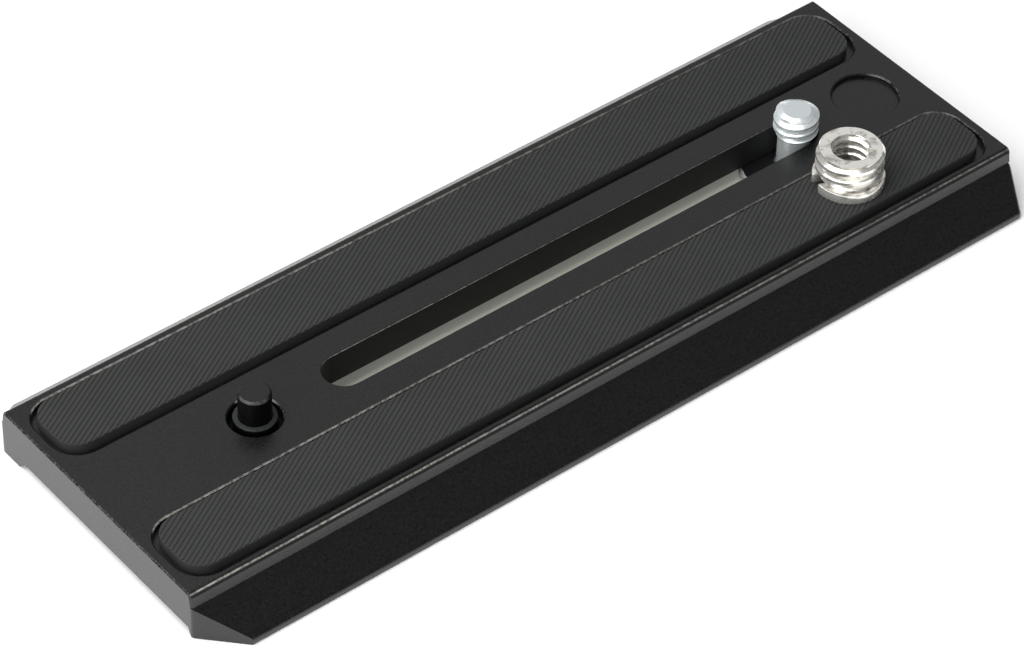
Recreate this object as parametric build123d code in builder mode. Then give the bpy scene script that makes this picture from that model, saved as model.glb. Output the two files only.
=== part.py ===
"""Long sliding camera plate for a tripod head.

A dovetail plate with two grip pads, a captive camera screw in a long slot, a sprung
locating pin and a thread reducing bushing that stands on the front pad.

Millimetres. The origin lies under the middle of the plate, on the surface it stands on.
X runs along the plate towards the screw's end, Y across it, Z up.
"""

import os

from build123d import *

# Plate
plate_length = 140.0
plate_height = 7.4
top_width = 41.4
dovetail_overhang = 5.6  # how far each foot reaches past the side land
side_land = 2.2  # steep strip below the top edge
land_lean = 0.3  # how far the strip leans out at its foot
foot_land = 1.0  # upright strip at the foot of the dovetail
corner_radius = 0.8
top_edge_radius = 0.85  # along the plate
end_edge_chamfer = 0.25
foot_round_radius = 0.9  # where the dovetail's slope meets its foot
foot_edge_radius = 0.2
lead_in_length = 5.35  # plan facets at the end that enters the tripod head
end_taper = 2.6  # slight plan taper of the dovetail at the other end

# Channel along the underside, between two rails
channel_depth = 1.3
front_rail_width = 5.9
rear_rail_width = 9.3
front_wall_run = 0.6
rear_wall_run = 1.4

# Slot for the camera screw, and the pocket below it for the screw's head
slot_start_inset = 39.7  # end of the plate to the first arc's centre
slot_end_inset = 21.35
slot_width = 5.9
slot_edge_radius = 0.25
web_thickness = 4.8
head_side_gap = 0.5

# Grip pads, glued into shallow recesses
pad_end_margin = 2.45
pad_side_margin = 2.25
pad_width = 9.9
pad_corner_radius = 3.3
pad_proud = 0.7
pad_edge_chamfer = 0.2
pad_recess_depth = 1.0
pad_recess_chamfer = 0.2
pad_gap = 0.95
pad_setback = 0.18  # pads lie this far to the rear of the middle of their recesses

# Shallow round recess at the screw's end
round_recess_inset = 8.5
round_recess_diameter = 9.46
round_recess_depth = 0.65
round_recess_chamfer = 0.2

# Camera screw, quarter inch
screw_park = 0.3  # parked screw to the end of its travel
thread_diameter = 6.35
thread_gap = 0.12  # first thread above the plate
thread_rise = 4.15  # tip above the plate
thread_chamfer = 0.5
neck_side_gap = 0.55
head_diameter = 15.0
head_lift = 0.12
head_chamfer = 0.3
coin_slot_width = 1.6
coin_slot_depth = 0.9

# Plastic washer between the screw's head and the plate
washer_inset = 0.2  # edge of the washer inside the head's edge
washer_thickness = 0.5
washer_lift = 0.02
washer_bore_gap = 0.25
screw_float = 0.2  # washer to plate while the screw hangs loose

# Sprung locating pin
pin_to_slot = 14.4
pin_diameter = 4.5
pin_tip_chamfer = 0.3
pin_wall = 0.6
pin_crown = 1.4
pin_flange_width = 0.85
pin_flange_thickness = 0.4
pin_clearance = 0.05
pin_stop_gap = 0.35  # left under the pin when it is pressed level with the pads
shank_relief = 0.2  # guided part of the pin, slimmer than its free end
shank_rise = 0.1  # top of the guided part above the collar

# Collar that guides the pin, pressed into the bore
guide_rise = 0.3  # collar above the plate
guide_neck_height = 2.2
guide_body_height = 0.4
guide_wall = 0.65
guide_edge_chamfer = 0.15
well_gap = 0.73  # open ring between the collar's neck and the bore
bore_chamfer = 0.2
seat_gap = 0.02  # round the pressed collar and cap

# Cap that closes the bore from below
cap_lip = 0.95
cap_edge_chamfer = 0.2
cap_lift = 0.2
cap_floor = 0.35
cap_side_gap = 0.2  # round the pin's flange
cap_collar = 1.5  # height of the collar inside the bore

# Flat wire coil spring inside the pin
spring_side_gap = 0.225
spring_wire = 0.45
spring_turns = 6

# Thread reducing bushing, three eighths to a quarter inch
bushing_setback = 1.55  # along the plate, from the screw
bushing_offset = 0.87  # across the plate, from the middle of the front pad
bushing_flange_overhang = 0.3
bushing_flange_thickness = 1.5
bushing_thread_diameter = 9.525
bushing_bore_diameter = 5.1
bushing_height = 5.95
bushing_chamfer = 0.35
driver_slot_width = 2.0
driver_slot_angle = -20.0

# Levels and places that follow from the sizes above
half_length = plate_length / 2
half_top = top_width / 2
half_land = half_top + land_lean
half_foot = half_land + dovetail_overhang
land_bottom = plate_height - side_land
slot_start = -half_length + slot_start_inset
slot_end = half_length - slot_end_inset
slot_middle = (slot_start + slot_end) / 2
slot_travel = slot_end - slot_start
pocket_top = plate_height - web_thickness
pocket_width = head_diameter + 2 * head_side_gap
round_recess_x = half_length - round_recess_inset

pad_length = plate_length - 2 * pad_end_margin
pad_y = half_top - pad_side_margin - pad_width / 2
pad_bottom = plate_height - pad_recess_depth
pad_top = plate_height + pad_proud
pad_thickness = pad_top - pad_bottom

screw_x = slot_end - screw_park
neck_radius = slot_width / 2 - neck_side_gap
thread_radius = thread_diameter / 2
thread_bottom = plate_height + thread_gap
thread_top = plate_height + thread_rise
washer_top = pocket_top - screw_float
washer_bottom = washer_top - washer_thickness
head_radius = head_diameter / 2
head_top = washer_bottom - washer_lift

pin_x = slot_start - pin_to_slot
pin_radius = pin_diameter / 2
shank_radius = pin_radius - shank_relief
pin_bore_radius = pin_radius - pin_wall
pin_flange_radius = pin_radius + pin_flange_width
guide_bore_radius = pin_radius + pin_clearance
guide_neck_radius = guide_bore_radius + guide_wall
bore_radius = guide_neck_radius + well_gap
seat_radius = bore_radius - seat_gap
guide_top = plate_height + guide_rise
shank_top = guide_top + shank_rise
guide_shoulder = guide_top - guide_neck_height
guide_bottom = guide_shoulder - guide_body_height
pin_flange_top = guide_bottom - pin_clearance
pin_flange_bottom = pin_flange_top - pin_flange_thickness
cap_radius = bore_radius + cap_lip
cap_bore_radius = pin_flange_radius + cap_side_gap
cap_floor_top = cap_lift + cap_floor
cap_top = channel_depth + cap_collar
pin_travel = pin_flange_bottom - cap_floor_top - pin_stop_gap
pin_top = pad_top + pin_travel
spring_radius = pin_bore_radius - spring_side_gap - spring_wire / 2
spring_height = pin_top - pin_crown - cap_floor_top

bushing_x = screw_x - bushing_setback
bushing_y = -pad_y + bushing_offset
bushing_thread_radius = bushing_thread_diameter / 2
bushing_bore_radius = bushing_bore_diameter / 2
bushing_flange_radius = bushing_thread_radius + bushing_flange_overhang
bushing_flange_top = pad_top + bushing_flange_thickness
bushing_top = pad_top + bushing_height

screw_axis = Axis((screw_x, 0, 0), (0, 0, 1))
pin_axis = Axis((pin_x, 0, 0), (0, 0, 1))
bushing_axis = Axis((bushing_x, bushing_y, 0), (0, 0, 1))
screw_section = Plane(origin=(screw_x, 0, 0), x_dir=(1, 0, 0), z_dir=(0, -1, 0))
pin_section = Plane(origin=(pin_x, 0, 0), x_dir=(1, 0, 0), z_dir=(0, -1, 0))
bushing_section = Plane(origin=(bushing_x, bushing_y, 0), x_dir=(1, 0, 0), z_dir=(0, -1, 0))

os.makedirs("parts", exist_ok=True)

# Plate's block above the dovetail, its long sides leaning in a little towards the top
with BuildPart() as upper_block:
    with BuildSketch(Plane.YZ.offset(-half_length)) as block_section:
        with BuildLine():
            Polyline(
                (half_land, land_bottom),
                (half_top, plate_height),
                (-half_top, plate_height),
                (-half_land, land_bottom),
                close=True,
            )
        make_face()
        fillet(block_section.vertices().group_by(Axis.Y)[-1], radius=top_edge_radius)
    extrude(amount=plate_length)
    edges_along = upper_block.edges().group_by(Axis.X)
    end_edges = (edges_along[0] + edges_along[-1]).filter_by_position(
        Axis.Z, land_bottom, plate_height, inclusive=(False, True)
    )
    chamfer(end_edges, length=end_edge_chamfer)

# Plate
with BuildPart() as plate_body:
    # Dovetail section, drawn across the plate
    with BuildSketch(Plane.YZ.offset(-half_length)):
        with BuildLine():
            Polyline(
                (half_land, land_bottom),
                (half_foot, foot_land),
                (half_foot, 0),
                (-half_foot, 0),
                (-half_foot, foot_land),
                (-half_land, land_bottom),
                close=True,
            )
        make_face()
    extrude(amount=plate_length)

    # Lead-in facets at one end and a slight taper at the other, cut in plan
    with BuildSketch() as plan:
        with BuildLine():
            Polyline(
                (-half_length, half_land),
                (-half_length + lead_in_length, half_foot),
                (half_length - end_taper, half_foot),
                (half_length, half_land),
                (half_length, -half_land),
                (half_length - end_taper, -half_foot),
                (-half_length + lead_in_length, -half_foot),
                (-half_length, -half_land),
                close=True,
            )
        make_face()
        corners_along = plan.vertices().group_by(Axis.X)
        fillet(corners_along[0] + corners_along[-2] + corners_along[-1], radius=corner_radius)
    extrude(amount=plate_height, mode=Mode.INTERSECT)

    # Rounded edges along both feet
    foot_tops = plate_body.edges().filter_by(Axis.X).filter_by_position(Axis.Z, foot_land, foot_land)
    fillet(foot_tops, radius=foot_round_radius)
    foot_bottoms = plate_body.edges().filter_by(Axis.X).filter_by_position(Axis.Z, 0, 0)
    fillet(foot_bottoms, radius=foot_edge_radius)

    add(upper_block.part)

    # Channel between the rails
    with BuildSketch(Plane.YZ.offset(-half_length)):
        with BuildLine():
            Polyline(
                (-half_foot + front_rail_width, 0),
                (-half_foot + front_rail_width + front_wall_run, channel_depth),
                (half_foot - rear_rail_width - rear_wall_run, channel_depth),
                (half_foot - rear_rail_width, 0),
                close=True,
            )
        make_face()
    extrude(amount=plate_length, mode=Mode.SUBTRACT)

    # Pocket for the screw's head, open below
    with BuildSketch():
        with Locations((slot_middle, 0)):
            SlotCenterToCenter(slot_travel, pocket_width)
    extrude(amount=pocket_top, mode=Mode.SUBTRACT)

    # Slot for the screw's neck
    with BuildSketch():
        with Locations((slot_middle, 0)):
            SlotCenterToCenter(slot_travel, slot_width)
    extrude(amount=plate_height, mode=Mode.SUBTRACT)
    slot_rim = plate_body.edges(Select.LAST).filter_by_position(Axis.Z, plate_height, plate_height)
    fillet(slot_rim, radius=slot_edge_radius)

    # Recesses for the grip pads
    with BuildSketch(Plane.XY.offset(pad_bottom)):
        with Locations((0, pad_y - pad_setback), (0, -pad_y - pad_setback)):
            RectangleRounded(
                pad_length + 2 * pad_gap, pad_width + 2 * pad_gap, pad_corner_radius + pad_gap
            )
    extrude(amount=pad_recess_depth, mode=Mode.SUBTRACT)
    pad_rims = plate_body.edges(Select.LAST).filter_by_position(Axis.Z, plate_height, plate_height)
    chamfer(pad_rims, length=pad_recess_chamfer)

    # Bore for the locating pin
    with BuildSketch():
        with Locations((pin_x, 0)):
            Circle(bore_radius)
    extrude(amount=plate_height, mode=Mode.SUBTRACT)
    bore_rim = plate_body.edges(Select.LAST).filter_by_position(Axis.Z, plate_height, plate_height)
    chamfer(bore_rim, length=bore_chamfer)

    # Shallow round recess
    with BuildSketch(Plane.XY.offset(plate_height - round_recess_depth)):
        with Locations((round_recess_x, 0)):
            Circle(round_recess_diameter / 2)
    extrude(amount=round_recess_depth, mode=Mode.SUBTRACT)
    recess_rim = plate_body.edges(Select.LAST).filter_by_position(Axis.Z, plate_height, plate_height)
    chamfer(recess_rim, length=round_recess_chamfer)

plate_body.part.label = "plate_body"
export_step(plate_body.part, "parts/plate_body.step")

# Rear grip pad
with BuildPart() as rear_grip_pad:
    with BuildSketch(Plane.XY.offset(pad_bottom)):
        with Locations((0, pad_y)):
            RectangleRounded(pad_length, pad_width, pad_corner_radius)
    extrude(amount=pad_thickness)
    chamfer(rear_grip_pad.faces().sort_by(Axis.Z)[-1].edges(), length=pad_edge_chamfer)

rear_grip_pad.part.label = "rear_grip_pad"
export_step(rear_grip_pad.part, "parts/rear_grip_pad.step")

# Front grip pad
with BuildPart() as front_grip_pad:
    with BuildSketch(Plane.XY.offset(pad_bottom)):
        with Locations((0, -pad_y)):
            RectangleRounded(pad_length, pad_width, pad_corner_radius)
    extrude(amount=pad_thickness)
    chamfer(front_grip_pad.faces().sort_by(Axis.Z)[-1].edges(), length=pad_edge_chamfer)

front_grip_pad.part.label = "front_grip_pad"
export_step(front_grip_pad.part, "parts/front_grip_pad.step")

# Camera screw: slotted head, neck that slides in the slot, thread above the plate
with BuildPart() as camera_screw:
    with BuildSketch(screw_section):
        with BuildLine():
            Polyline(
                (0, head_lift),
                (head_radius - head_chamfer, head_lift),
                (head_radius, head_lift + head_chamfer),
                (head_radius, head_top - head_chamfer),
                (head_radius - head_chamfer, head_top),
                (neck_radius, head_top),
                (neck_radius, thread_bottom),
                (thread_radius, thread_bottom + (thread_radius - neck_radius) / 2),
                (thread_radius, thread_top - thread_chamfer),
                (thread_radius - thread_chamfer, thread_top),
                (0, thread_top),
                close=True,
            )
        make_face()
    revolve(axis=screw_axis)

    # Coin slot across the underside of the head
    with BuildSketch(Plane.XY.offset(head_lift)):
        with Locations((screw_x, 0)):
            Rectangle(coin_slot_width, head_diameter)
    extrude(amount=coin_slot_depth, mode=Mode.SUBTRACT)

camera_screw.part.label = "camera_screw"
export_step(camera_screw.part, "parts/camera_screw.step")

# Washer on the screw's neck
with BuildPart() as screw_washer:
    with BuildSketch(Plane.XY.offset(washer_bottom)):
        with Locations((screw_x, 0)):
            Circle(head_radius - washer_inset)
            Circle(neck_radius + washer_bore_gap, mode=Mode.SUBTRACT)
    extrude(amount=washer_thickness)

screw_washer.part.label = "screw_washer"
export_step(screw_washer.part, "parts/screw_washer.step")

# Collar that guides the pin, pressed into the bore
with BuildPart() as pin_guide:
    with BuildSketch(pin_section):
        with BuildLine():
            Polyline(
                (guide_bore_radius, guide_bottom),
                (seat_radius, guide_bottom),
                (seat_radius, guide_shoulder),
                (guide_neck_radius, guide_shoulder),
                (guide_neck_radius, guide_top - guide_edge_chamfer),
                (guide_neck_radius - guide_edge_chamfer, guide_top),
                (guide_bore_radius, guide_top),
                close=True,
            )
        make_face()
    revolve(axis=pin_axis)

pin_guide.part.label = "pin_guide"
export_step(pin_guide.part, "parts/pin_guide.step")

# Locating pin: hollow from below for its spring, with a flange that stops it under the collar
with BuildPart() as locating_pin:
    with BuildSketch(pin_section):
        with BuildLine():
            Polyline(
                (pin_bore_radius, pin_flange_bottom),
                (pin_flange_radius, pin_flange_bottom),
                (pin_flange_radius, pin_flange_top),
                (shank_radius, pin_flange_top),
                (shank_radius, shank_top),
                (pin_radius, shank_top),
                (pin_radius, pin_top - pin_tip_chamfer),
                (pin_radius - pin_tip_chamfer, pin_top),
                (0, pin_top),
                (0, pin_top - pin_crown),
                (pin_bore_radius, pin_top - pin_crown),
                close=True,
            )
        make_face()
    revolve(axis=pin_axis)

locating_pin.part.label = "locating_pin"
export_step(locating_pin.part, "parts/locating_pin.step")

# Coil spring between the cap's floor and the crown of the pin
with BuildPart() as pin_spring:
    with BuildLine():
        coil = Helix(
            pitch=(spring_height - spring_wire) / spring_turns,
            height=spring_height - spring_wire,
            radius=spring_radius,
            center=(pin_x, 0, cap_floor_top + spring_wire / 2),
        )
    with BuildSketch(Plane(origin=coil @ 0, x_dir=(1, 0, 0), z_dir=coil % 0)):
        Rectangle(spring_wire, spring_wire)
    sweep(is_frenet=True)

pin_spring.part.label = "pin_spring"
export_step(pin_spring.part, "parts/pin_spring.step")

# Cap that closes the bore and carries the spring
with BuildPart() as pin_cap:
    with BuildSketch(pin_section):
        with BuildLine():
            Polyline(
                (0, cap_lift),
                (cap_radius - cap_edge_chamfer, cap_lift),
                (cap_radius, cap_lift + cap_edge_chamfer),
                (cap_radius, channel_depth),
                (seat_radius, channel_depth),
                (seat_radius, cap_top),
                (cap_bore_radius, cap_top),
                (cap_bore_radius, cap_floor_top),
                (0, cap_floor_top),
                close=True,
            )
        make_face()
    revolve(axis=pin_axis)

pin_cap.part.label = "pin_cap"
export_step(pin_cap.part, "parts/pin_cap.step")

# Thread reducing bushing, standing on the front pad
with BuildPart() as reducer_bushing:
    with BuildSketch(bushing_section):
        with BuildLine():
            Polyline(
                (bushing_bore_radius, pad_top),
                (bushing_flange_radius, pad_top),
                (bushing_flange_radius, bushing_flange_top),
                (bushing_thread_radius, bushing_flange_top),
                (bushing_thread_radius, bushing_top - bushing_chamfer),
                (bushing_thread_radius - bushing_chamfer, bushing_top),
                (bushing_bore_radius, bushing_top),
                close=True,
            )
        make_face()
    revolve(axis=bushing_axis)

    # Driver slot across the flange
    with BuildSketch(Plane.XY.offset(pad_top)):
        with Locations(Location((bushing_x, bushing_y), driver_slot_angle)):
            Rectangle(3 * bushing_flange_radius, driver_slot_width)
    extrude(amount=bushing_flange_thickness, mode=Mode.SUBTRACT)

reducer_bushing.part.label = "reducer_bushing"
export_step(reducer_bushing.part, "parts/reducer_bushing.step")
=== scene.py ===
"""Studio scene of a long sliding camera plate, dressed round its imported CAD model."""

import math

import bmesh
import bpy
from mathutils import Matrix, Vector


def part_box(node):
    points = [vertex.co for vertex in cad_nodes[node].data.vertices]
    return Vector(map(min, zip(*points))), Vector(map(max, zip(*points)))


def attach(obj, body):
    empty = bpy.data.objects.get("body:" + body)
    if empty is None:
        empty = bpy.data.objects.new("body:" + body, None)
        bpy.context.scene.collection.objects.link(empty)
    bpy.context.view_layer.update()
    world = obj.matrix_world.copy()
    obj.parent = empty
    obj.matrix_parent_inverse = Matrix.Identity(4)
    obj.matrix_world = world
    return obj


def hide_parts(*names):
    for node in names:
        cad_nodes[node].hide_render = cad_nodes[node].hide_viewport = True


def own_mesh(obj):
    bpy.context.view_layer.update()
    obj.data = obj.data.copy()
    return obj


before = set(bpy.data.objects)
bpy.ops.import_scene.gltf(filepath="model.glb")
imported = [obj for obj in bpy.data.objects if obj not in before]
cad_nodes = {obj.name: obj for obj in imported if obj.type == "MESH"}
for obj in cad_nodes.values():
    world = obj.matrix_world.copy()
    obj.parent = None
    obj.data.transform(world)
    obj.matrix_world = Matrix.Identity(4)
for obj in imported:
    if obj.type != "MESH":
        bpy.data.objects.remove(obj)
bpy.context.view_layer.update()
scene = bpy.context.scene

# Named lengths are in millimetres, and MM makes metres of them
MM = 0.001

# Camera, solved from the photograph, with its angles in degrees
IMAGE_AZIMUTH = -39.94
IMAGE_ELEVATION = 42.925
IMAGE_ROLL = 1.683
CAMERA_LENS = 153.5
CAMERA_SENSOR = 36.0
CAMERA_DISTANCE = 577.45
CAMERA_AIM = Vector((-7.28, -6.36, 7.4))

# Meshes
ROUND_STEPS = 72
DISC_EDGE_STEPS = 2
MERGE_DISTANCE = 1e-4
CUT_DISTANCE = 1e-5
LEVEL_TOLERANCE = 1e-3
SMOOTH_ANGLE = math.radians(32)
SHARP_ANGLE = math.radians(40)

# Grip pads
PAD_CORNER = 3.3
PAD_CORNER_STEPS = 10
PAD_EDGE = 0.06
PAD_EDGE_STEPS = 3
RIDGE_TURN = math.radians(30)
RIDGE_PITCH = 0.64
RIDGE_DEPTH = 0.13
RIDGE_FOOT = 0.54
RIDGE_CREST = 0.2
RIDGE_SINK = 0.05
RIDGE_OVERRUN = 4
TRIM_STEP = 15  # degrees between the planes that trim the ridges to the pad's outline

# Camera screw
SCREW_PITCH = 1.27
SCREW_PROFILE = (0.12, 0.40, 0.72)  # shares of the pitch: root's end, crest's start and end
SCREW_CREST = 3.175
SCREW_ROOT = 2.6
SCREW_THREAD_BOTTOM = 7.52
SCREW_TIP_RADIUS = 1.95
SCREW_TIP_SPREAD = 1.9  # widening of the tip's cone for each millimetre down
SCREW_NECK = 2.4
SCREW_SMOOTH_ANGLE = math.radians(22)
HEAD_CHAMFER = 0.3
HEAD_TOP = 1.88
COIN_SLOT_WIDTH = 1.6
COIN_SLOT_DEPTH = 0.9
COIN_SLOT_TURN = math.radians(90)
COIN_SLOT_EDGE = 0.15

# Reducer bushing
BUSHING_PITCH = 1.5875
BUSHING_PROFILE = (0.12, 0.42, 0.72)
BUSHING_CREST = 4.7625
BUSHING_ROOT = 3.95
BUSHING_BORE = 2.55
BUSHING_GROOVE = 3.1
BUSHING_LIP_OUTER = 4.35
BUSHING_LIP_INNER = 2.8
BUSHING_SINK = 0.05
FLANGE_THICKNESS = 1.5
FLANGE_EDGE = 0.12
DRIVER_SLOT_WIDTH = 2.0
DRIVER_SLOT_TURN = math.radians(-20)

# Pin spring
SPRING_WIRE = 0.45
SPRING_TURNS = 6
SPRING_STEPS = 32

# Colours, in linear light
PLATE_DARK_PIT = (0.0018, 0.0018, 0.0018)
PLATE_DARK_GRAIN = (0.006, 0.0063, 0.0062)
PLATE_PALE_PIT = (0.0034, 0.0034, 0.0034)
PLATE_PALE_GRAIN = (0.0085, 0.0089, 0.0088)
# Bare aluminium on the top edges, which also serves as their painted highlight
BARE_ALUMINIUM_AND_HIGHLIGHT = (0.37, 0.353, 0.325)
RUBBER_CLEAN = (0.021, 0.0217, 0.022)
RUBBER_DUSTY = (0.032, 0.0328, 0.0332)
ZINC_DIM = (0.84, 0.91, 0.94)
ZINC_BRIGHT = (0.95, 0.99, 1.0)
# Painted shade on the screw's end face
ZINC_END_FACE_SHADE = (0.7, 0.75, 0.765)
NICKEL_DIM = (0.88, 0.86, 0.8)
NICKEL_BRIGHT = (0.96, 0.94, 0.89)
# Painted reflection: dark patches on the nickel plating
NICKEL_DARK_REFLECTION = (0.25, 0.235, 0.205)
PIN_DARK = (0.002, 0.002, 0.0022)
PIN_PALE = (0.004, 0.004, 0.0042)
# Painted light on the pin's tip, and a painted highlight, partly real rubbing, on its rim
PIN_TIP_PAINTED_LIGHT = (0.021, 0.021, 0.0217)
PIN_RUBBED_HIGHLIGHT = (0.08, 0.08, 0.083)
GUIDE_BLACK = (0.002, 0.002, 0.002)
GUIDE_WORN_DARK = (0.014, 0.016, 0.0165)
GUIDE_WORN_PALE = (0.048, 0.052, 0.052)
NYLON_DARK = (0.004, 0.004, 0.0045)
NYLON_PALE = (0.007, 0.007, 0.008)
WIRE_DARK = (0.42, 0.42, 0.42)
WIRE_PALE = (0.56, 0.56, 0.56)
FLOOR_WHITE = (0.9, 0.9, 0.9)
# Painted shade on the floor under the plate
FLOOR_PAINTED_SHADE = (0.5, 0.5, 0.43)
GLOW_WHITE = (1.0, 1.0, 1.0)
GLOW_IN_PAINTED_SHADE = (0.99, 1.0, 0.9)

# Masks, each as (none at, full at): lengths, or parts of the surface's normal along an axis
RIM_HEIGHT = (6.4, 6.6)
RIM_FLAT = (0.92, 0.83)
RIM_STEEP = (0.6, 0.7)
FRONT_RIM_FACING = (-0.48, -0.58)
LEFT_RIM_FACING = (-0.5, -0.6)
WELL_RIM_FACING = (-0.46, -0.56)
BAND_HEIGHT = (6.2, 6.4)
BAND_STEEP = (0.2, 0.26)
BAND_FLAT = (0.66, 0.6)
BAND_FACING = (-0.6, -0.7)
SLOT_LEFT = (-36, -35)
SLOT_RIGHT = (54, 53)
SLOT_SIDE = (3.1, 3.0)
SLOT_TOP = (7.3, 7.1)
SCREW_END_FACING = (0.96, 0.99)
PIN_TIP_FACING = (0.92, 0.97)
PIN_RIM_FACING = (0.5, 0.6)
PIN_RUB_HIGHLIGHT_FACING = (-0.3, -0.7)
COLLAR_HEIGHT = (7.4, 7.5)

# Shares of a noise, and what the finish makes of them
NOISE_RANGE = (0.3, 0.7)  # most of a noise lies in it
PLATE_SPECKLE = (0.35, 0.65)
PLATE_ROUGHNESS = (0.26, 0.36)
RUBBER_ROUGHNESS = (0.66, 0.82)
ZINC_ROUGHNESS = (0.24, 0.36)
NICKEL_REFLECTION_SPOTS = (0.5, 0.64)
NICKEL_REFLECTION_DEPTH = (0, 0.62)
NICKEL_ROUGHNESS = (0.14, 0.26)
PIN_RUB_HIGHLIGHT_SPOTS = (0.35, 0.6)
PIN_RUB_HIGHLIGHT_SHARE = (0.4, 1)
PIN_ROUGHNESS = (0.28, 0.42)
GUIDE_ROUGHNESS = (0.4, 0.55)
NYLON_ROUGHNESS = (0.45, 0.6)
WIRE_ROUGHNESS = (0.28, 0.42)

# Wear and painted highlights on the plate's top edges
FRONT_WEAR_HIGHLIGHT_SPAN = (-65, 50)
FRONT_WEAR_HIGHLIGHT_FADE = (1, 0.45)
FRONT_DOTS = (0.36, 0.6)
FRONT_DOT_WEAR_HIGHLIGHT = (0.3, 1)
LEFT_SPECKS = (0.46, 0.64)
LEFT_SPECK_WEAR_HIGHLIGHT = (0, 0.28)
WELL_WAY = (0.64, 0.77)  # from the pin to the middle of the worn arc with its painted highlight
WELL_REACH = 4.3
WELL_WEAR_HIGHLIGHT = 0.8
RECESS_INSET = 8.5
RECESS_REACH = 5.5
NEAR_FADE = 0.3

# Roughness that the plate gains where a cutter left it duller
SLOT_DULLNESS = 0.34
BAND_DULLNESS = 0.6

# Studio, with its lamps' powers in watts
SOFTBOX_PLACE = Vector((-400, 150, 800))
SOFTBOX_SIZE = 900
SOFTBOX_POWER = 9.2
REAR_PANEL_WAY = Vector((0.47, 0.56, 0.68))
REAR_PANEL_DISTANCE = 1300
REAR_PANEL_SIZE = 1200
REAR_PANEL_POWER = 1.8
SIDE_PANEL_WAY = Vector((-0.85, -0.3, 0.45))
SIDE_PANEL_DISTANCE = 1200
SIDE_PANEL_SIZE = 800
SIDE_PANEL_POWER = 7.5
FLOOR_SIDE = 6000
FLOOR_DROP = 0.02
FLOOR_ROUGHNESS = 0.9
# Half sizes of the floor's patch of painted shade under the plate
PAINTED_SHADE_HALF_LENGTH = 60
PAINTED_SHADE_HALF_WIDTH = 20
CAMERA_GLOW = 0.12
MIRROR_GLOW = 0.55
SKY_STRENGTH = 0.17


# Measures of the CAD model


def box_mm(node):
    """Lowest and highest corner of a CAD node, in millimetres."""
    low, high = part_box(node)
    return low / MM, high / MM


def middle_of(node):
    """Middle of a CAD node in plan, in millimetres."""
    low, high = box_mm(node)
    return Vector(((low.x + high.x) / 2, (low.y + high.y) / 2, 0))


# Mesh tools


def ordered(items):
    """These items once each, in the order they come."""
    return list(dict.fromkeys(items))


def verts_of(result):
    """The vertices among what an operator made."""
    return [item for item in result["geom"] if isinstance(item, bmesh.types.BMVert)]


def faces_of(result):
    """The faces among what an operator made."""
    return [item for item in result["geom"] if isinstance(item, bmesh.types.BMFace)]


def everything(bm):
    """All of a bmesh's vertices, edges and faces."""
    return bm.verts[:] + bm.edges[:] + bm.faces[:]


def whole(verts):
    """These vertices with their edges and faces."""
    edges = ordered(e for v in verts for e in v.link_edges)
    faces = ordered(f for v in verts for f in v.link_faces)
    return verts + edges + faces


def linked_verts(verts):
    """These vertices and every other that edges join to them."""
    found = dict.fromkeys(verts)
    waiting = list(verts)
    while waiting:
        vert = waiting.pop()
        for edge in vert.link_edges:
            other = edge.other_vert(vert)
            if other not in found:
                found[other] = None
                waiting.append(other)
    return list(found)


def open_edges(bm):
    """Edges with a face on one side only."""
    return [e for e in bm.edges if e.is_boundary]


def is_level(edge, height):
    """Whether an edge lies flat at one height."""
    return all(abs(v.co.z - height) < LEVEL_TOLERANCE for v in edge.verts)


def square(bm, side):
    """Flat square round the origin."""
    bmesh.ops.create_grid(bm, x_segments=1, y_segments=1, size=side / 2)


def finish_piece(bm, name, body, node, material, smooth_angle=SMOOTH_ANGLE):
    """Turns a bmesh in millimetres into a piece that stands for a CAD node."""
    bmesh.ops.remove_doubles(bm, verts=bm.verts, dist=MERGE_DISTANCE)
    bmesh.ops.recalc_face_normals(bm, faces=bm.faces)
    bmesh.ops.scale(bm, vec=(MM, MM, MM), verts=bm.verts)
    mesh = bpy.data.meshes.new(name)
    bm.to_mesh(mesh)
    bm.free()
    mesh.shade_smooth()
    mesh.set_sharp_from_angle(angle=smooth_angle)
    mesh.materials.append(material)
    piece = bpy.data.objects.new(name, mesh)
    scene.collection.objects.link(piece)
    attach(piece, body)
    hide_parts(node)
    return piece


def turned(bm, centre, profile):
    """Spins an open half profile of (radius, height) points into a closed round piece."""
    verts = [bm.verts.new((centre.x + radius, centre.y, height)) for radius, height in profile]
    edges = [bm.edges.new(pair) for pair in zip(verts, verts[1:])]
    bmesh.ops.spin(
        bm, geom=verts + edges, cent=(centre.x, centre.y, 0), axis=(0, 0, 1),
        angle=math.tau, steps=ROUND_STEPS, use_merge=True,
    )


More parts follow.
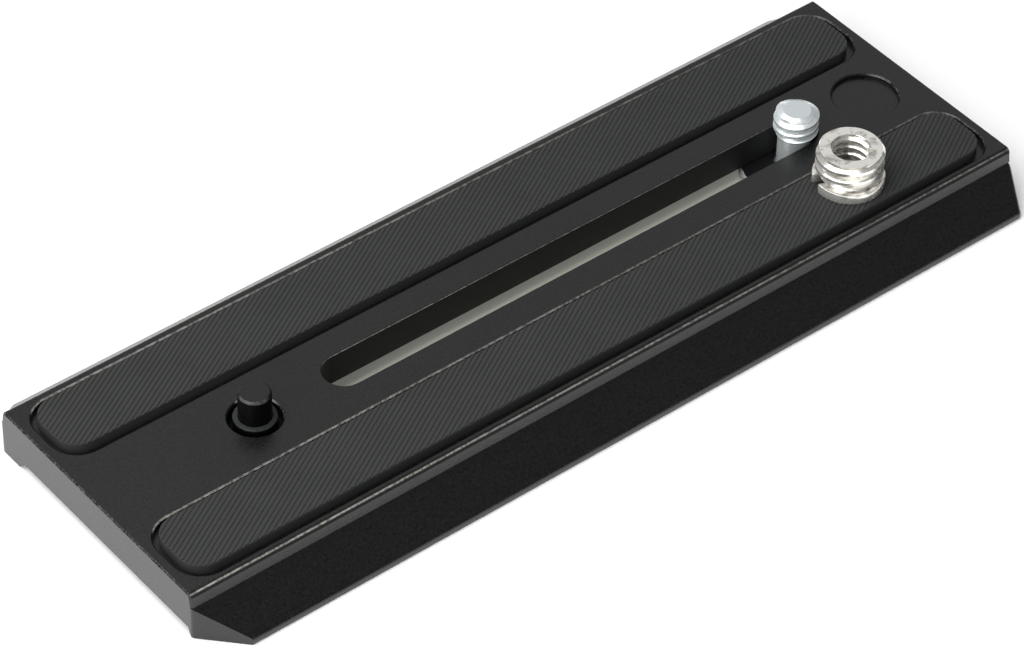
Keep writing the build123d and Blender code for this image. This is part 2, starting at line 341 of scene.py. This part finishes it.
def slotted_disc(bm, centre, radius, bore, gap, turn, bottom, top, edge):
    """Two halves of a disc either side of a straight slot, with or without a bore."""
    outer = bmesh.ops.create_circle(
        bm, cap_ends=bore == 0, segments=ROUND_STEPS, radius=radius
    )
    verts = list(outer["verts"])
    if bore:
        verts += bmesh.ops.create_circle(bm, segments=ROUND_STEPS, radius=bore)["verts"]
        rims = ordered(e for v in verts for e in v.link_edges)
        bmesh.ops.triangle_fill(bm, use_beauty=True, edges=rims, normal=(0, 0, 1))
    cut = bmesh.ops.bisect_plane(
        bm, geom=whole(verts), dist=CUT_DISTANCE, plane_co=(0, gap / 2, 0), plane_no=(0, 1, 0),
        clear_inner=True,
    )
    base = faces_of(cut)
    lifted = verts_of(bmesh.ops.extrude_face_region(bm, geom=base))
    bmesh.ops.translate(bm, vec=(0, 0, top - bottom), verts=lifted)
    raised = [f for v in lifted for f in v.link_faces]
    shell = ordered(raised + [f for f in base if f.is_valid])
    bmesh.ops.recalc_face_normals(bm, faces=shell)
    shell_edges = ordered(e for f in shell for e in f.edges)
    sharp = [e for e in shell_edges if e.is_manifold and e.calc_face_angle() > SHARP_ANGLE]
    rounded = bmesh.ops.bevel(
        bm, geom=sharp, offset=edge, offset_type="OFFSET", segments=DISC_EDGE_STEPS, profile=0.5,
        affect="EDGES", material=-1,
    )
    half = linked_verts(ordered(v for f in rounded["faces"] for v in f.verts))
    other_half = verts_of(bmesh.ops.duplicate(bm, geom=whole(half)))
    half_turn = Matrix.Rotation(math.pi, 3, "Z")
    bmesh.ops.rotate(bm, cent=(0, 0, 0), matrix=half_turn, verts=other_half)
    both = half + other_half
    bmesh.ops.rotate(bm, cent=(0, 0, 0), matrix=Matrix.Rotation(turn, 3, "Z"), verts=both)
    bmesh.ops.translate(bm, vec=(centre.x, centre.y, bottom), verts=both)


def thread_outline(root, crest, profile):
    """One turn of a thread as (radius, share of pitch) points, from root to root."""
    root_end, crest_start, crest_end = profile
    return (root, 0), (root, root_end), (crest, crest_start), (crest, crest_end), (root, 1)


def helical_thread(bm, centre, outline, pitch, bottom, top):
    """Spins one turn's outline up a right-handed helix and gives the thread's vertices."""
    start = bottom - pitch
    turns = math.ceil((top - start) / pitch) + 1
    before = set(bm.verts)
    verts = []
    for radius, share in outline:
        verts.append(bm.verts.new((centre.x + radius, centre.y, start + share * pitch)))
    edges = [bm.edges.new(pair) for pair in zip(verts, verts[1:])]
    bmesh.ops.spin(
        bm, geom=verts + edges, cent=(centre.x, centre.y, 0), axis=(0, 0, 1),
        dvec=(0, 0, pitch / ROUND_STEPS), angle=math.tau * turns, steps=ROUND_STEPS * turns,
    )
    made = [v for v in bm.verts if v not in before]
    bmesh.ops.remove_doubles(bm, verts=made, dist=MERGE_DISTANCE)
    return [v for v in bm.verts if v not in before]


def trim_thread(bm, verts, centre, bottom, top, bottom_radius, top_radius, inside, top_spread=1.0):
    """Draws a thread's ends in to plain circles, with a short cone before each."""
    limit_of = max if inside else min
    way = -1 if inside else 1
    for vert in verts:
        arm = Vector((vert.co.x - centre.x, vert.co.y - centre.y, 0))
        height = min(max(vert.co.z, bottom), top)
        if height == top:
            radius = top_radius
        elif height == bottom:
            radius = bottom_radius
        else:
            radius = limit_of(
                arm.length,
                top_radius + way * top_spread * (top - height),
                bottom_radius + way * (height - bottom),
            )
        vert.co = centre + arm.normalized() * radius + Vector((0, 0, height))
    bmesh.ops.remove_doubles(bm, verts=verts, dist=MERGE_DISTANCE)


# Pieces


def make_ridges(bm, centre, half_length, half_width, corner, floor, crest):
    """Slanting ridges over the field of a pad, trimmed to its rounded outline."""
    along = Vector((math.cos(RIDGE_TURN), math.sin(RIDGE_TURN), 0))
    across = Vector((math.sin(RIDGE_TURN), -math.cos(RIDGE_TURN), 0))
    reach = 2 * half_width / math.sin(RIDGE_TURN) + RIDGE_OVERRUN
    step = RIDGE_PITCH / math.sin(RIDGE_TURN)
    count = math.ceil((2 * half_length + reach) / step)
    start = centre + Vector((-half_length - reach / 2, 0, floor)) - along * reach / 2
    section = (
        (-RIDGE_FOOT / 2, -RIDGE_SINK),
        (RIDGE_FOOT / 2, -RIDGE_SINK),
        (RIDGE_CREST / 2, crest - floor),
        (-RIDGE_CREST / 2, crest - floor),
    )
    rows = bmesh.new()
    corners = []
    for side, rise in section:
        corners.append(rows.verts.new(start + across * side + Vector((0, 0, rise))))
    end = rows.faces.new(corners)
    far = verts_of(bmesh.ops.extrude_face_region(rows, geom=[end]))
    bmesh.ops.translate(rows, vec=along * reach, verts=far)
    bmesh.ops.spin(
        rows, geom=everything(rows), cent=centre, axis=(0, 0, 1), dvec=(step, 0, 0), angle=0,
        steps=count, use_duplicate=True,
    )
    for turn in range(0, 360, TRIM_STEP):
        outward = Vector((math.cos(math.radians(turn)), math.sin(math.radians(turn)), 0))
        corner_middle = centre + Vector((
            math.copysign(half_length - corner, outward.x),
            math.copysign(half_width - corner, outward.y),
            0,
        ))
        bmesh.ops.bisect_plane(
            rows, geom=everything(rows), dist=CUT_DISTANCE,
            plane_co=corner_middle + outward * corner, plane_no=outward, clear_outer=True,
        )
        bmesh.ops.holes_fill(rows, edges=open_edges(rows), sides=0)
    bmesh.ops.recalc_face_normals(rows, faces=rows.faces)
    ridge_mesh = bpy.data.meshes.new("ridges")
    rows.to_mesh(ridge_mesh)
    rows.free()
    bm.from_mesh(ridge_mesh)
    bpy.data.meshes.remove(ridge_mesh)


def make_grip_pad(node, material):
    """Strip with rounded corners and slanting ridges."""
    low, high = box_mm(node)
    centre = middle_of(node)
    length = high.x - low.x
    width = high.y - low.y
    field = high.z - RIDGE_DEPTH
    bm = bmesh.new()
    square(bm, 1)
    bmesh.ops.scale(bm, vec=(length, width, 1), verts=bm.verts)
    bmesh.ops.translate(bm, vec=centre + Vector((0, 0, low.z)), verts=bm.verts)
    bmesh.ops.bevel(
        bm, geom=bm.verts[:], offset=PAD_CORNER, offset_type="OFFSET", segments=PAD_CORNER_STEPS,
        profile=0.5, affect="VERTICES", material=-1,
    )
    lifted = verts_of(bmesh.ops.extrude_face_region(bm, geom=bm.faces[:]))
    bmesh.ops.translate(bm, vec=(0, 0, field - low.z), verts=lifted)
    bmesh.ops.recalc_face_normals(bm, faces=bm.faces)
    top_edges = [e for e in bm.edges if is_level(e, field)]
    bmesh.ops.bevel(
        bm, geom=top_edges, offset=PAD_EDGE, offset_type="OFFSET", segments=PAD_EDGE_STEPS,
        profile=0.5, affect="EDGES", material=-1,
    )
    make_ridges(
        bm, centre, length / 2 - PAD_EDGE, width / 2 - PAD_EDGE, PAD_CORNER - PAD_EDGE,
        field, high.z,
    )
    finish_piece(bm, node + "_ribbed", "plate", node, material)


def make_camera_screw(material):
    """Captive screw: rolled thread, undercut neck and a head with a coin slot."""
    low, high = box_mm("camera_screw")
    centre = middle_of("camera_screw")
    head_radius = (high.x - low.x) / 2
    slot_top = low.z + COIN_SLOT_DEPTH
    neck_top = SCREW_THREAD_BOTTOM + SCREW_PITCH / 2
    bm = bmesh.new()
    outline = thread_outline(SCREW_ROOT, SCREW_CREST, SCREW_PROFILE)
    thread = helical_thread(bm, centre, outline, SCREW_PITCH, SCREW_THREAD_BOTTOM, high.z)
    trim_thread(
        bm, thread, centre, SCREW_THREAD_BOTTOM, high.z, SCREW_ROOT, SCREW_TIP_RADIUS,
        inside=False, top_spread=SCREW_TIP_SPREAD,
    )
    bmesh.ops.holes_fill(bm, edges=open_edges(bm), sides=0)
    turned(bm, centre, (
        (0, slot_top),
        (head_radius, slot_top),
        (head_radius, HEAD_TOP - HEAD_CHAMFER),
        (head_radius - HEAD_CHAMFER, HEAD_TOP),
        (SCREW_NECK, HEAD_TOP),
        (SCREW_NECK, neck_top),
        (0, neck_top),
    ))
    slotted_disc(
        bm, centre, head_radius, 0, COIN_SLOT_WIDTH, COIN_SLOT_TURN, low.z, slot_top,
        COIN_SLOT_EDGE,
    )
    finish_piece(
        bm, "camera_screw_threaded", "screw", "camera_screw", material,
        SCREW_SMOOTH_ANGLE,
    )


def make_reducer_bushing(material):
    """Bushing threaded inside and out, on a flange with a driver slot."""
    low, high = box_mm("reducer_bushing")
    centre = middle_of("reducer_bushing")
    flange_radius = (high.x - low.x) / 2
    flange_top = low.z + FLANGE_THICKNESS
    base = flange_top - BUSHING_SINK
    bm = bmesh.new()
    outer_outline = thread_outline(BUSHING_ROOT, BUSHING_CREST, BUSHING_PROFILE)
    outer = helical_thread(bm, centre, outer_outline, BUSHING_PITCH, base, high.z)
    trim_thread(bm, outer, centre, base, high.z, BUSHING_ROOT, BUSHING_LIP_OUTER, inside=False)
    inner_outline = thread_outline(BUSHING_GROOVE, BUSHING_BORE, BUSHING_PROFILE)
    inner = helical_thread(bm, centre, inner_outline, SCREW_PITCH, base, high.z)
    trim_thread(bm, inner, centre, base, high.z, BUSHING_BORE, BUSHING_LIP_INNER, inside=True)
    for height in (base, high.z):
        rims = [e for e in open_edges(bm) if is_level(e, height)]
        bmesh.ops.triangle_fill(bm, use_beauty=True, edges=rims, normal=(0, 0, 1))
    slotted_disc(
        bm, centre, flange_radius, BUSHING_BORE, DRIVER_SLOT_WIDTH, DRIVER_SLOT_TURN,
        low.z, flange_top, FLANGE_EDGE,
    )
    finish_piece(
        bm, "reducer_bushing_threaded", "plate", "reducer_bushing", material
    )


def make_pin_spring(material):
    """Coil of flat wire in the CAD spring's place, with a mesh of its own."""
    low, high = box_mm("pin_spring")
    centre = middle_of("pin_spring")
    radius = (high.x - low.x - SPRING_WIRE) / 2
    height = high.z - low.z
    steps = SPRING_TURNS * SPRING_STEPS
    rise = (height - SPRING_WIRE) / steps
    foot = centre + Vector((radius, 0, low.z + SPRING_WIRE / 2))
    upright = Matrix.Rotation(math.pi / 2, 3, "X")
    bm = bmesh.new()
    square(bm, SPRING_WIRE)
    bmesh.ops.rotate(bm, cent=(0, 0, 0), matrix=upright, verts=bm.verts)
    bmesh.ops.translate(bm, vec=foot, verts=bm.verts)
    bmesh.ops.spin(
        bm, geom=everything(bm), cent=centre, axis=(0, 0, 1), dvec=(0, 0, rise),
        angle=math.tau * SPRING_TURNS, steps=steps,
    )
    spring = finish_piece(bm, "pin_spring_coil", "plate", "pin_spring", material)
    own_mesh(spring)


# Material tools


def new_material(name, metallic=0.0, specular=0.5):
    """A material with its node tree and its shader."""
    material = bpy.data.materials.new(name)
    material.use_nodes = True
    tree = material.node_tree
    shader = tree.nodes["Principled BSDF"]
    shader.inputs["Metallic"].default_value = metallic
    shader.inputs["Specular IOR Level"].default_value = specular
    return material, tree, shader


def object_place(tree):
    """Object coordinates."""
    return tree.nodes.new("ShaderNodeTexCoord").outputs["Object"]


def surface_way(tree):
    """The way the surface faces."""
    return tree.nodes.new("ShaderNodeTexCoord").outputs["Normal"]


def axis_parts(tree, vector):
    """A vector's parts along the plate, across it and up."""
    node = tree.nodes.new("ShaderNodeSeparateXYZ")
    tree.links.new(vector, node.inputs["Vector"])
    return node.outputs["X"], node.outputs["Y"], node.outputs["Z"]


def noise(tree, place, scale, detail=3.0, roughness=0.55):
    """Noise over a place."""
    texture = tree.nodes.new("ShaderNodeTexNoise")
    texture.inputs["Scale"].default_value = scale
    texture.inputs["Detail"].default_value = detail
    texture.inputs["Roughness"].default_value = roughness
    tree.links.new(place, texture.inputs["Vector"])
    return texture.outputs["Fac"]


def maths(tree, operation, first, second=None):
    """A maths node on sockets or numbers."""
    node = tree.nodes.new("ShaderNodeMath")
    node.operation = operation
    for socket, value in zip(node.inputs, (first, second)):
        if value is None:
            continue
        if isinstance(value, (int, float)):
            socket.default_value = value
        else:
            tree.links.new(value, socket)
    return node.outputs["Value"]


def overlap(tree, *masks):
    """Where all of these masks hold, as their product."""
    result = masks[0]
    for other in masks[1:]:
        result = maths(tree, "MULTIPLY", result, other)
    return result


def union(tree, *masks):
    """Where any of these masks holds, as the largest of them."""
    result = masks[0]
    for other in masks[1:]:
        result = maths(tree, "MAXIMUM", result, other)
    return result


def spread(tree, value, source, target, unit=1.0):
    """Maps a value from one range to another, clamped; the first range is given in a unit."""
    node = tree.nodes.new("ShaderNodeMapRange")
    node.inputs["From Min"].default_value = source[0] * unit
    node.inputs["From Max"].default_value = source[1] * unit
    node.inputs["To Min"].default_value = target[0]
    node.inputs["To Max"].default_value = target[1]
    tree.links.new(value, node.inputs["Value"])
    return node.outputs["Result"]


def mask(tree, value, limits, unit=1.0):
    """Nothing up to the first of two limits, and full from the second on."""
    return spread(tree, value, limits, (0, 1), unit)


def near_axis(tree, place, axis, reach):
    """Full within a reach of an upright axis, fading to nothing just outside it."""
    along, across, _ = axis_parts(tree, place)
    ahead = maths(tree, "POWER", maths(tree, "SUBTRACT", along, axis.x * MM), 2)
    aside = maths(tree, "POWER", maths(tree, "SUBTRACT", across, axis.y * MM), 2)
    distance = maths(tree, "SQRT", maths(tree, "ADD", ahead, aside))
    return mask(tree, distance, (reach + NEAR_FADE, reach), MM)


def blend_colours(tree, share, first, second):
    """Mixes two colours by a share from 0 to 1."""
    node = tree.nodes.new("ShaderNodeMix")
    node.data_type = "RGBA"
    tree.links.new(share, node.inputs["Factor"])
    for socket, value in ((node.inputs["A"], first), (node.inputs["B"], second)):
        if isinstance(value, tuple):
            socket.default_value = (*value, 1.0)
        else:
            tree.links.new(value, socket)
    return node.outputs["Result"]


def paint(tree, shader, colour, dullness):
    """Gives a shader its colour and its roughness."""
    tree.links.new(colour, shader.inputs["Base Color"])
    tree.links.new(dullness, shader.inputs["Roughness"])


def bump(tree, shader, height, strength, distance):
    """Bumps a shader's surface by a height."""
    node = tree.nodes.new("ShaderNodeBump")
    node.inputs["Strength"].default_value = strength
    node.inputs["Distance"].default_value = distance * MM
    tree.links.new(height, node.inputs["Height"])
    tree.links.new(node.outputs["Normal"], shader.inputs["Normal"])


# Materials


def worn_and_highlit_edges(tree, place, facing):
    """Rubbed top edges, partly real wear and partly painted highlight: dots along the front,
    specks at the left end, a glint arc at the pin's well.
    """
    along, _, height = axis_parts(tree, place)
    lengthwise, crosswise, upward = facing
    rim = overlap(
        tree,
        mask(tree, upward, RIM_FLAT),
        mask(tree, upward, RIM_STEEP),
        mask(tree, height, RIM_HEIGHT, MM),
    )
    plate_end = box_mm("plate_body")[1].x
    by_well = near_axis(tree, place, middle_of("locating_pin"), WELL_REACH)
    by_recess = near_axis(tree, place, Vector((plate_end - RECESS_INSET, 0, 0)), RECESS_REACH)
    away_from_both = maths(tree, "SUBTRACT", 1, union(tree, by_well, by_recess))
    # Painted highlight, partly real wear: pale dots, specks and an arc on rims that face the
    # front, the left and into the pin's well
    rubs_and_highlights = noise(tree, place, scale=1700, detail=2.0, roughness=0.6)
    dots = overlap(
        tree,
        rim,
        mask(tree, crosswise, FRONT_RIM_FACING),
        spread(tree, rubs_and_highlights, FRONT_DOTS, FRONT_DOT_WEAR_HIGHLIGHT),
        spread(tree, along, FRONT_WEAR_HIGHLIGHT_SPAN, FRONT_WEAR_HIGHLIGHT_FADE, MM),
        away_from_both,
    )
    scuffs_and_highlights = noise(tree, place, scale=4200, detail=2.0, roughness=0.6)
    specks = overlap(
        tree,
        rim,
        mask(tree, lengthwise, LEFT_RIM_FACING),
        spread(tree, scuffs_and_highlights, LEFT_SPECKS, LEFT_SPECK_WEAR_HIGHLIGHT),
    )
    inward = maths(
        tree, "ADD",
        maths(tree, "MULTIPLY", lengthwise, WELL_WAY[0]),
        maths(tree, "MULTIPLY", crosswise, WELL_WAY[1]),
    )
    arc = overlap(tree, rim, by_well, mask(tree, inward, WELL_RIM_FACING), WELL_WEAR_HIGHLIGHT)
    return union(tree, dots, specks, arc)


def slot_walls(tree, place):
    """The walls of the long slot."""
    along, across, height = axis_parts(tree, place)
    return overlap(
        tree,
        mask(tree, along, SLOT_LEFT, MM),
        mask(tree, along, SLOT_RIGHT, MM),
        mask(tree, maths(tree, "ABSOLUTE", across), SLOT_SIDE, MM),
        mask(tree, height, SLOT_TOP, MM),
    )


def front_band(tree, place, facing):
    """The narrow band under the front top edge."""
    _, crosswise, upward = facing
    height = axis_parts(tree, place)[2]
    return overlap(
        tree,
        mask(tree, upward, BAND_STEEP),
        mask(tree, upward, BAND_FLAT),
        mask(tree, crosswise, BAND_FACING),
        mask(tree, height, BAND_HEIGHT, MM),
    )


def black_anodised():
    """Bead-blasted black anodised aluminium, rubbed a little along the top edges and given painted
    highlights there.
    """
    material, tree, shader = new_material("black_anodised")
    place = object_place(tree)
    facing = axis_parts(tree, surface_way(tree))
    cloud = noise(tree, place, scale=90, detail=4.0)
    grain = noise(tree, place, scale=3000, detail=2.0, roughness=0.6)
    speckle = mask(tree, grain, PLATE_SPECKLE)
    dark = blend_colours(tree, speckle, PLATE_DARK_PIT, PLATE_DARK_GRAIN)
    pale = blend_colours(tree, speckle, PLATE_PALE_PIT, PLATE_PALE_GRAIN)
    body = blend_colours(tree, cloud, dark, pale)
    # Painted highlight and wear: the top edges' rims take the pale colour
    colour = blend_colours(tree, worn_and_highlit_edges(tree, place, facing), body, BARE_ALUMINIUM_AND_HIGHLIGHT)
    milled = union(
        tree,
        maths(tree, "MULTIPLY", front_band(tree, place, facing), BAND_DULLNESS),
        maths(tree, "MULTIPLY", slot_walls(tree, place), SLOT_DULLNESS),
    )
    blasted = spread(tree, grain, NOISE_RANGE, PLATE_ROUGHNESS)
    paint(tree, shader, colour, maths(tree, "ADD", milled, blasted))
    bump(tree, shader, grain, strength=0.45, distance=0.03)
    return material


def grip_rubber():
    """Matte black rubber with a fine moulded skin."""
    material, tree, shader = new_material("grip_rubber")
    place = object_place(tree)
    skin = noise(tree, place, scale=5200, detail=3.0, roughness=0.6)
    dust = noise(tree, place, scale=160, detail=4.0)
    colour = blend_colours(tree, dust, RUBBER_CLEAN, RUBBER_DUSTY)
    dullness = spread(tree, skin, NOISE_RANGE, RUBBER_ROUGHNESS)
    paint(tree, shader, colour, dullness)
    bump(tree, shader, skin, strength=0.3, distance=0.02)
    return material


def zinc_plate():
    """Bright zinc plating with a cool tint, with painted shade making the end face a little
    darker.
    """
    material, tree, shader = new_material("zinc_plate", metallic=0.6)
    place = object_place(tree)
    bloom = noise(tree, place, scale=700)
    flank = blend_colours(tree, bloom, ZINC_DIM, ZINC_BRIGHT)
    upward = axis_parts(tree, surface_way(tree))[2]
    # Painted shade: the upward end face gets a darker colour than the flanks
    shaded_end_face = mask(tree, upward, SCREW_END_FACING)
    colour = blend_colours(tree, shaded_end_face, flank, ZINC_END_FACE_SHADE)
    dullness = spread(tree, bloom, NOISE_RANGE, ZINC_ROUGHNESS)
    paint(tree, shader, colour, dullness)
    bump(tree, shader, noise(tree, place, scale=3000, detail=2.0), strength=0.15, distance=0.02)
    return material


def nickel_plate():
    """Bright nickel plating with a warm tint and painted dark reflections in patches."""
    material, tree, shader = new_material("nickel_plate", metallic=0.74)
    place = object_place(tree)
    bloom = noise(tree, place, scale=500)
    bright = blend_colours(tree, bloom, NICKEL_DIM, NICKEL_BRIGHT)
    # Painted reflection: dark patches stand for dark surroundings mirrored in the plating
    dark_reflection = spread(tree, noise(tree, place, scale=620), NICKEL_REFLECTION_SPOTS, NICKEL_REFLECTION_DEPTH)
    colour = blend_colours(tree, dark_reflection, bright, NICKEL_DARK_REFLECTION)
    dullness = spread(tree, bloom, NOISE_RANGE, NICKEL_ROUGHNESS)
    paint(tree, shader, colour, dullness)
    bump(tree, shader, noise(tree, place, scale=1600, detail=2.0), strength=0.12, distance=0.03)
    return material


def pin_steel():
    """Black oxide on the turned pin, with painted light on its tip and a highlight, partly rubbed
    and partly painted, round the front of the tip's rim.
    """
    material, tree, shader = new_material("pin_steel", specular=0.15)
    place = object_place(tree)
    marks = noise(tree, place, scale=2600, detail=2.0)
    lengthwise, crosswise, upward = axis_parts(tree, surface_way(tree))
    shaft = blend_colours(tree, marks, PIN_DARK, PIN_PALE)
    # Painted light: the upward tip gets a lighter colour than the shaft
    body = blend_colours(tree, mask(tree, upward, PIN_TIP_FACING), shaft, PIN_TIP_PAINTED_LIGHT)
    # Painted highlight, partly real rubbing: pale spots on the rim where it faces front and left
    rubbed = overlap(
        tree,
        mask(tree, maths(tree, "ADD", lengthwise, crosswise), PIN_RUB_HIGHLIGHT_FACING),
        mask(tree, upward, PIN_RIM_FACING),
        spread(tree, marks, PIN_RUB_HIGHLIGHT_SPOTS, PIN_RUB_HIGHLIGHT_SHARE),
    )
    colour = blend_colours(tree, rubbed, body, PIN_RUBBED_HIGHLIGHT)
    dullness = spread(tree, marks, NOISE_RANGE, PIN_ROUGHNESS)
    paint(tree, shader, colour, dullness)
    bump(tree, shader, marks, strength=0.2, distance=0.02)
    return material


def guide_steel():
    """Dull black oxide on the pin's guide, rubbed grey on the face of its collar."""
    material, tree, shader = new_material("guide_steel", specular=0.12)
    place = object_place(tree)
    marks = noise(tree, place, scale=2200, detail=2.0)
    height = axis_parts(tree, place)[2]
    collar = mask(tree, height, COLLAR_HEIGHT, MM)
    worn = blend_colours(tree, marks, GUIDE_WORN_DARK, GUIDE_WORN_PALE)
    colour = blend_colours(tree, collar, GUIDE_BLACK, worn)
    dullness = spread(tree, marks, NOISE_RANGE, GUIDE_ROUGHNESS)
    paint(tree, shader, colour, dullness)
    bump(tree, shader, marks, strength=0.2, distance=0.02)
    return material


def washer_nylon():
    """Black nylon."""
    material, tree, shader = new_material("washer_nylon", specular=0.2)
    cloud = noise(tree, object_place(tree), scale=400)
    colour = blend_colours(tree, cloud, NYLON_DARK, NYLON_PALE)
    dullness = spread(tree, cloud, NOISE_RANGE, NYLON_ROUGHNESS)
    paint(tree, shader, colour, dullness)
    return material


def spring_wire():
    """Drawn steel wire."""
    material, tree, shader = new_material("spring_wire", metallic=1.0)
    drawn = noise(tree, object_place(tree), scale=1800, detail=2.0)
    colour = blend_colours(tree, drawn, WIRE_DARK, WIRE_PALE)
    dullness = spread(tree, drawn, NOISE_RANGE, WIRE_ROUGHNESS)
    paint(tree, shader, colour, dullness)
    return material


def white_floor():
    """White floor that stays white, also in mirrors, and still takes the object's shadow, with
    painted shade on a patch under the plate.
    """
    material, tree, shader = new_material("white_floor", specular=0.0)
    shader.inputs["Roughness"].default_value = FLOOR_ROUGHNESS
    along, across, _ = axis_parts(tree, object_place(tree))
    beyond = maths(tree, "GREATER_THAN", maths(tree, "ABSOLUTE", along), PAINTED_SHADE_HALF_LENGTH * MM)
    beside = maths(tree, "GREATER_THAN", maths(tree, "ABSOLUTE", across), PAINTED_SHADE_HALF_WIDTH * MM)
    # Painted shade: under the plate the floor is darker and warmer, and glows only to the camera
    clear = union(tree, beyond, beside)
    colour = blend_colours(tree, clear, FLOOR_PAINTED_SHADE, FLOOR_WHITE)
    tree.links.new(colour, shader.inputs["Base Color"])
    glow = blend_colours(tree, clear, GLOW_IN_PAINTED_SHADE, GLOW_WHITE)
    tree.links.new(glow, shader.inputs["Emission Color"])
    rays = tree.nodes.new("ShaderNodeLightPath")
    mirrored = union(tree, rays.outputs["Is Glossy Ray"], rays.outputs["Is Transmission Ray"])
    strength = union(
        tree,
        maths(tree, "MULTIPLY", rays.outputs["Is Camera Ray"], CAMERA_GLOW),
        overlap(tree, mirrored, clear, MIRROR_GLOW),
    )
    tree.links.new(strength, shader.inputs["Emission Strength"])
    return material


# Studio


def make_floor(material):
    """Plain floor just under the object."""
    bm = bmesh.new()
    square(bm, FLOOR_SIDE * MM)
    bmesh.ops.translate(bm, vec=(0, 0, -FLOOR_DROP * MM), verts=bm.verts)
    mesh = bpy.data.meshes.new("floor")
    bm.to_mesh(mesh)
    bm.free()
    mesh.materials.append(material)
    floor = bpy.data.objects.new("floor", mesh)
    scene.collection.objects.link(floor)


def facing_pose(way, distance):
    """Pose of a lamp that faces the origin from one way."""
    turn = way.to_track_quat("Z", "Y").to_matrix().to_4x4()
    return Matrix.Translation(way.normalized() * distance * MM) @ turn


def add_lamp(name, pose, size, power):
    """Square lamp, which shines down from its pose."""
    lamp = bpy.data.lights.new(name, "AREA")
    lamp.shape = "SQUARE"
    lamp.size = size * MM
    lamp.energy = power
    holder = bpy.data.objects.new(name, lamp)
    holder.matrix_world = pose
    scene.collection.objects.link(holder)


def make_sky():
    """Even white light from all round."""
    world = bpy.data.worlds.new("studio")
    world.use_nodes = True
    sky = world.node_tree.nodes["Background"]
    sky.inputs["Color"].default_value = (1.0, 1.0, 1.0, 1.0)
    sky.inputs["Strength"].default_value = SKY_STRENGTH
    scene.world = world


def make_camera():
    """Camera at the photograph's angle."""
    azimuth = math.radians(IMAGE_AZIMUTH)
    elevation = math.radians(IMAGE_ELEVATION)
    roll = math.radians(IMAGE_ROLL)
    outward = Vector((
        math.sin(azimuth) * math.cos(elevation),
        -math.cos(azimuth) * math.cos(elevation),
        math.sin(elevation),
    ))
    level_right = Vector((math.cos(azimuth), math.sin(azimuth), 0))
    level_up = outward.cross(level_right)
    right = math.cos(roll) * level_right + math.sin(roll) * level_up
    up = math.cos(roll) * level_up - math.sin(roll) * level_right
    pose = Matrix((right, up, outward)).transposed().to_4x4()
    pose.translation = (CAMERA_AIM + outward * CAMERA_DISTANCE) * MM
    camera_data = bpy.data.cameras.new("camera")
    camera_data.sensor_width = CAMERA_SENSOR
    camera_data.lens = CAMERA_LENS
    camera = bpy.data.objects.new("camera", camera_data)
    camera.matrix_world = pose
    scene.collection.objects.link(camera)
    scene.camera = camera


# The object

anodised = black_anodised()
node_finishes = {
    "plate_body": anodised,
    "pin_cap": anodised,
    "pin_guide": guide_steel(),
    "locating_pin": pin_steel(),
    "screw_washer": washer_nylon(),
}
for node_name, finish in node_finishes.items():
    cad_nodes[node_name].data.materials.clear()
    cad_nodes[node_name].data.materials.append(finish)

rubber = grip_rubber()
make_grip_pad("rear_grip_pad", rubber)
make_grip_pad("front_grip_pad", rubber)
make_camera_screw(zinc_plate())
make_reducer_bushing(nickel_plate())
make_pin_spring(spring_wire())

# Floor, light and camera

make_floor(white_floor())
add_lamp("softbox", Matrix.Translation(SOFTBOX_PLACE * MM), SOFTBOX_SIZE, SOFTBOX_POWER)
# The plate's top mirrors the rear panel, and the side panel lights the screw
rear_pose = facing_pose(REAR_PANEL_WAY, REAR_PANEL_DISTANCE)
add_lamp("rear_panel", rear_pose, REAR_PANEL_SIZE, REAR_PANEL_POWER)
side_pose = facing_pose(SIDE_PANEL_WAY, SIDE_PANEL_DISTANCE)
add_lamp("side_panel", side_pose, SIDE_PANEL_SIZE, SIDE_PANEL_POWER)
make_sky()
make_camera()
scene.view_settings.view_transform = "Standard"
